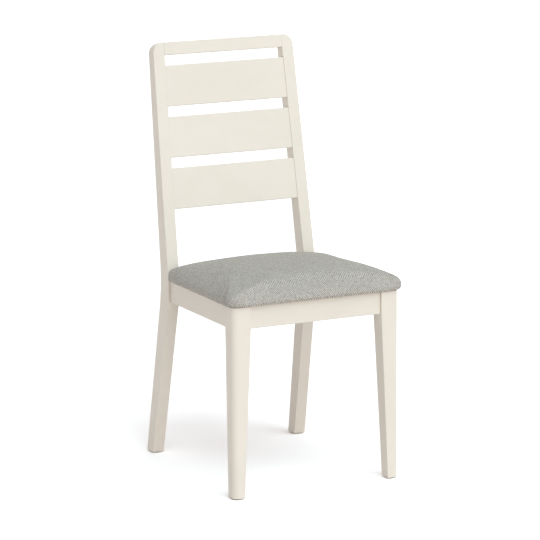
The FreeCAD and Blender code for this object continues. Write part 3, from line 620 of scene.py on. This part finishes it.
def start_form(shrink):
    """The closed form that the cushion swells from."""
    rings = []
    for inset_share, height_share in SIDE_SHARES:
        rings.append(pad_outline(shrink + inset_share*EDGE_ROUND, height_share*(EDGE_HEIGHT - shrink)))
    for step in range(1, CROWN_STEPS + 1):
        share = step/CROWN_STEPS
        inset = shrink + EDGE_ROUND + share*(CROWN_INSET - EDGE_ROUND)
        rise = crown_rise(share)*(START_CROWN_HEIGHT - EDGE_HEIGHT)
        rings.append(pad_outline(inset, EDGE_HEIGHT - shrink + rise))
    mesh = bpy.data.meshes.new("seat_cushion")
    form = bmesh.new()
    loops = [[form.verts.new(point) for point in ring] for ring in rings]
    for lower, upper in zip(loops, loops[1:]):
        for index in range(len(lower)):
            following = (index + 1) % len(lower)
            form.faces.new((lower[index], lower[following], upper[following], upper[index]))
    form.faces.new(reversed(loops[0]))
    form.faces.new(loops[-1])
    form.to_mesh(mesh)
    form.free()
    cushion = bpy.data.objects.new("seat_cushion", mesh)
    scene.collection.objects.link(cushion)
    return cushion


def apply_modifiers(piece):
    """Replaces a piece's mesh by its evaluated one and drops its modifiers."""
    evaluated = piece.evaluated_get(bpy.context.evaluated_depsgraph_get())
    mesh = bpy.data.meshes.new_from_object(evaluated)
    piece.modifiers.clear()
    piece.data = mesh


def swell(cushion):
    """Blows the padding up under its cover, with the underside held down on the rails."""
    before = [vertex.co.copy() for vertex in cushion.data.vertices]
    held = cushion.vertex_groups.new(name="held")
    held.add([index for index, place in enumerate(before) if place.z < HELD_HEIGHT], 1.0, "REPLACE")
    cloth = cushion.modifiers.new("cloth", "CLOTH")
    cloth.settings.use_pressure = True
    cloth.settings.uniform_pressure_force = PRESSURE
    cloth.settings.effector_weights.gravity = 0
    cloth.settings.tension_stiffness = STIFFNESS
    cloth.settings.compression_stiffness = STIFFNESS
    cloth.settings.shear_stiffness = STIFFNESS
    cloth.settings.bending_stiffness = BENDING
    cloth.settings.vertex_group_mass = "held"
    cloth.point_cache.frame_end = LAST_FRAME
    for number in range(1, LAST_FRAME + 1):
        scene.frame_set(number)
    apply_modifiers(cushion)
    scene.frame_set(1)
    for vertex, start in zip(cushion.data.vertices, before):
        move = vertex.co - start
        if move.length > MOST_SWELL:
            vertex.co = start + move.normalized()*MOST_SWELL
    cushion.vertex_groups.clear()


def soften(cushion):
    """Evens the surface out and adds the slight lumps of real stuffing above the underside."""
    smooth = cushion.modifiers.new("smooth", "SMOOTH")
    smooth.factor = SMOOTH_FACTOR
    smooth.iterations = SMOOTH_ROUNDS
    apply_modifiers(cushion)
    for vertex in cushion.data.vertices:
        weight = min(1.0, max(0.0, vertex.co.z/EDGE_HEIGHT))
        lump = noise.noise(vertex.co/LUMP_LENGTH)
        vertex.co += vertex.normal*(lump*LUMP_SIZE*weight)
        vertex.co.z = max(vertex.co.z, 0.0)


def fit(cushion):
    """Brings the swollen cushion back to the width, depth and crown height of the seat."""
    vertices = cushion.data.vertices
    widest = max(abs(point.x) for point in in_pad_space("seat_cover"))
    width = widest/max(abs(vertex.co.x) for vertex in vertices)
    front = min(vertex.co.y for vertex in vertices)
    depth = (PAD_REAR - PAD_FRONT)/(max(vertex.co.y for vertex in vertices) - front)
    height = CROWN_HEIGHT/max(vertex.co.z for vertex in vertices)
    for vertex in vertices:
        place = vertex.co
        vertex.co = (place.x*width, PAD_FRONT + (place.y - front)*depth, place.z*height)


def lay_weave(cushion):
    """Weave coordinates in metres: the cover's sheet is level on top and folds down over the edges."""
    mesh = cushion.data
    layer = mesh.uv_layers.new(name="weave")
    places = []
    for vertex in mesh.vertices:
        outward = Vector((vertex.normal.x, vertex.normal.y))
        if outward.length > 0:
            outward.normalize()
        drop = max(0.0, EDGE_HEIGHT - vertex.co.z)
        across = vertex.co.x + WEAVE_START + outward.x*drop
        along = vertex.co.y + WEAVE_START + outward.y*drop
        places.append((across, along))
    for loop in mesh.loops:
        layer.data[loop.index].uv = places[loop.vertex_index]


def make_cushion():
    """The upholstered pad, in place of the CAD cover, wadding and foam."""
    cushion = start_form(START_SHRINK)
    remesh = cushion.modifiers.new("remesh", "REMESH")
    remesh.mode = "VOXEL"
    remesh.voxel_size = VOXEL
    apply_modifiers(cushion)
    swell(cushion)
    soften(cushion)
    fit(cushion)
    lay_weave(cushion)
    cushion.data.transform(PAD_SPACE)
    cushion.data.materials.clear()
    cushion.data.materials.append(weave())
    for face in cushion.data.polygons:
        face.use_smooth = True
    finer = cushion.modifiers.new("finer", "SUBSURF")
    finer.levels = 1
    finer.render_levels = 1
    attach(cushion, "root")
    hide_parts("seat_cover", "seat_wadding", "seat_foam")


# The dust cover

def cloth_corners():
    """Corners of the dust cover's plan, from the CAD cloth, counter-clockwise as seen from above."""
    points = in_pad_space("seat_dust_cover")
    front = min(point.y for point in points)
    rear = max(point.y for point in points)
    widest = max(abs(point.x) for point in points)
    half = [
        (max(abs(point.x) for point in points if point.y < front + SAME_PLACE), front),
        (widest, min(point.y for point in points if abs(point.x) > widest - SAME_PLACE)),
        (max(abs(point.x) for point in points if point.y > rear - SAME_PLACE), rear)]
    corners = half + [(-across, depth) for across, depth in reversed(half)]
    return [Vector(corner) for corner in corners]


def moved_in(corners, inset):
    """A convex outline with every side moved inwards."""
    normals = []
    for index, corner in enumerate(corners):
        along = (corners[(index + 1) % len(corners)] - corner).normalized()
        normals.append(Vector((-along.y, along.x)))
    moved = []
    for index, corner in enumerate(corners):
        before, after = normals[index - 1], normals[index]
        moved.append(corner + (before + after)*(inset/(1 + before.dot(after))))
    return moved


def outline_points(corners, steps):
    """Points round an outline, with as many steps on each side as are given."""
    ring = []
    for index, corner in enumerate(corners):
        following = corners[(index + 1) % len(corners)]
        for step in range(steps[index]):
            ring.append(corner.lerp(following, step/steps[index]))
    return ring


def staple_spots():
    """Middles of the dust cover's staples in the pad's plan."""
    groups = []
    for point in in_pad_space("dust_cover_staples"):
        spot = Vector((point.x, point.y))
        for group in groups:
            if (group[0] - spot).length < STAPLE_REACH:
                group.append(spot)
                break
        else:
            groups.append([spot])
    return [sum(group, Vector((0, 0)))/len(group) for group in groups]


def pucker(spot, staples):
    """Depth of the small folds that run out from the staples."""
    depth = 0
    for staple in staples:
        away = spot - staple
        fade = math.exp(-away.length/PUCKER_REACH)*(1 - math.exp(-(away.length/PUCKER_START)**2))
        wave = (1 + math.cos(PUCKER_FOLDS*math.atan2(away.y, away.x)))/2
        depth += PUCKER_DEPTH*fade*wave
    return depth


def scallop(spot, staples):
    """How far the cloth's edge is drawn in between two staples."""
    nearest = min((spot - staple).length for staple in staples)
    return SCALLOP_DEPTH*(1 - math.exp(-(nearest/SCALLOP_REACH)**2))


def cloth_rings(corners, staples):
    """Rings of the cloth: from the raw edge of the hem out to the fold, then back in to the middle."""
    count = len(corners)
    sides = [(corners[(index + 1) % count] - corner).length for index, corner in enumerate(corners)]
    steps = [max(2, round(side/CLOTH_STEP)) for side in sides]
    hem = [HEM_WIDTH*step/HEM_RINGS for step in range(HEM_RINGS, 0, -1)]
    folded = [(inset, UPPER_LAYER) for inset in hem]
    folded.append((FOLD_ROUND, UPPER_LAYER))
    folded.append((0, (UPPER_LAYER + LOWER_LAYER)/2))
    folded.append((FOLD_ROUND, LOWER_LAYER))
    folded.extend((inset, LOWER_LAYER) for inset in reversed(hem))
    middle = sum(corners, Vector((0, 0)))/count
    rings = []
    for inset, height in folded:
        rings.append((outline_points(moved_in(corners, inset), steps), height, 1.0))
    inner = rings[-1][0]
    for step in range(1, CLOTH_RINGS):
        share = 1 - step/CLOTH_RINGS
        rings.append(([middle.lerp(point, share) for point in inner], LOWER_LAYER, share))
    placed = []
    for ring, height, share in rings:
        row = []
        for point in ring:
            inwards = (middle - point).normalized()
            drawn = point + inwards*(scallop(point, staples)*share**SCALLOP_FADE)
            drop = CLOTH_SAG*(1 - share**2)
            if height == LOWER_LAYER:
                drop += pucker(drawn, staples)
            row.append(Vector((drawn.x, drawn.y, height - drop)))
        placed.append(row)
    return placed, Vector((middle.x, middle.y, LOWER_LAYER - CLOTH_SAG))


def make_dust_cover():
    """Black cloth drawn tight under the seat, its hem folded in and held by the staples."""
    corners = cloth_corners()
    rings, middle = cloth_rings(corners, staple_spots())
    form = bmesh.new()
    loops = [[form.verts.new(point) for point in ring] for ring in rings]
    for outer, inner in zip(loops, loops[1:]):
        for index in range(len(outer)):
            following = (index + 1) % len(outer)
            form.faces.new((outer[index], inner[index], inner[following], outer[following]))
    centre = form.verts.new(middle)
    for index, corner in enumerate(loops[-1]):
        form.faces.new((corner, centre, loops[-1][(index + 1) % len(loops[-1])]))
    mesh = bpy.data.meshes.new("dust_cover_cloth")
    form.to_mesh(mesh)
    form.free()
    mesh.transform(PAD_SPACE)
    mesh.materials.append(dust_cloth())
    for face in mesh.polygons:
        face.use_smooth = True
    cloth = bpy.data.objects.new("dust_cover_cloth", mesh)
    scene.collection.objects.link(cloth)
    thick = cloth.modifiers.new("thickness", "SOLIDIFY")
    thick.thickness = CLOTH_THICKNESS
    thick.offset = 0
    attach(cloth, "root")
    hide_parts("seat_dust_cover")


# Stage, light and camera

def make_floor():
    """A white floor, brighter to the eye than to the chair, that keeps the shadow; clear from below."""
    tree = material_tree("floor_finish")
    seen = tree.seen()
    colour = tree.add("ShaderNodeCombineColor")
    for socket, bounce, shown in zip(colour.inputs, FLOOR_BOUNCE, FLOOR_SEEN):
        tree.feed(socket, tree.spread(seen, bounce, shown))
    tree.finish(colour.outputs["Color"], 1.0, Specular_IOR_Level=0.0)
    one_way = tree.add("ShaderNodeMixShader")
    tree.feed(one_way.inputs["Fac"], tree.add("ShaderNodeNewGeometry").outputs["Backfacing"])
    tree.feed(one_way.inputs[1], tree.shader.outputs["BSDF"])
    tree.feed(one_way.inputs[2], tree.add("ShaderNodeBsdfTransparent").outputs["BSDF"])
    tree.feed(tree.tree.nodes["Material Output"].inputs["Surface"], one_way.outputs["Shader"])
    mesh = bpy.data.meshes.new("floor")
    reach = FLOOR_REACH
    corners = [(-reach, -reach, 0), (reach, -reach, 0), (reach, reach, 0), (-reach, reach, 0)]
    mesh.from_pydata(corners, [], [(0, 1, 2, 3)])
    mesh.materials.append(tree.owner)
    floor = bpy.data.objects.new("floor", mesh)
    scene.collection.objects.link(floor)


def make_sky():
    """Even studio light, dimmer overhead and brighter in front and right; plain white where it is seen."""
    world = bpy.data.worlds.new("studio")
    scene.world = world
    tree = Tree(world, "Background")
    towards = tree.add("ShaderNodeTexCoord").outputs["Generated"]
    split = tree.add("ShaderNodeSeparateXYZ")
    tree.feed(split.inputs["Vector"], towards)
    lift = tree.add("ShaderNodeVectorMath", operation="DOT_PRODUCT")
    tree.feed(lift.inputs[0], towards)
    lift.inputs[1].default_value = SKY_LIFT
    level = tree.math("MULTIPLY", tree.spread(split.outputs["Z"], SKY_HORIZON, SKY_ZENITH),
                      tree.math("ADD", lift.outputs["Value"], 1.0))
    seen = tree.seen()
    tree.feed(tree.shader.inputs["Strength"], tree.mix("FLOAT", seen, level, 1.0))
    tree.feed(tree.shader.inputs["Color"], tree.mix("RGBA", seen, (*SKY_TINT, 1.0), (*WHITE, 1.0)))


def direction(azimuth, elevation):
    """Unit vector away from the chair: the azimuth turns from straight in front to the chair's +X side."""
    return Vector((math.sin(azimuth)*math.cos(elevation), -math.cos(azimuth)*math.cos(elevation),
                   math.sin(elevation)))


def make_lamp(name, azimuth, elevation, level, tint):
    """A wide soft lamp in a direction from the chair."""
    light = bpy.data.lights.new(name, "SUN")
    light.energy = level*math.pi
    light.angle = LAMP_SPREAD
    light.color = tint
    lamp = bpy.data.objects.new(name, light)
    lamp.rotation_mode = "QUATERNION"
    lamp.rotation_quaternion = direction(azimuth, elevation).to_track_quat("Z", "Y")
    scene.collection.objects.link(lamp)


def make_camera():
    """The camera at the photograph's viewing angle, with its frame."""
    lens = bpy.data.cameras.new("camera")
    camera = bpy.data.objects.new("camera", lens)
    scene.collection.objects.link(camera)
    lens.sensor_width = SENSOR
    lens.lens = FOCAL_PIXELS/PHOTO_SIZE*SENSOR
    lens.shift_x = (PHOTO_SIZE/2 - CENTRE_PIXEL[0])/PHOTO_SIZE
    lens.shift_y = (CENTRE_PIXEL[1] - PHOTO_SIZE/2)/PHOTO_SIZE
    backwards = direction(VIEW_AZIMUTH, VIEW_ELEVATION)
    level_right = Vector((math.cos(VIEW_AZIMUTH), math.sin(VIEW_AZIMUTH), 0))
    level_up = backwards.cross(level_right)
    right = level_right*math.cos(VIEW_ROLL) + level_up*math.sin(VIEW_ROLL)
    up = level_up*math.cos(VIEW_ROLL) - level_right*math.sin(VIEW_ROLL)
    turned = Matrix((right, up, backwards)).transposed().to_4x4()
    target = Vector((TARGET_ACROSS, leg_low.y + TARGET_BEHIND_FRONT, TARGET_HEIGHT))
    camera.matrix_world = Matrix.Translation(target + backwards*VIEW_DISTANCE) @ turned
    scene.camera = camera


scene.view_settings.view_transform = "Standard"
dress_frame()
make_cushion()
make_dust_cover()
make_floor()
make_sky()
make_lamp("key", KEY_AZIMUTH, KEY_ELEVATION, KEY_LEVEL, KEY_TINT)
make_lamp("fill", FILL_AZIMUTH, FILL_ELEVATION, FILL_LEVEL, FILL_TINT)
make_camera()
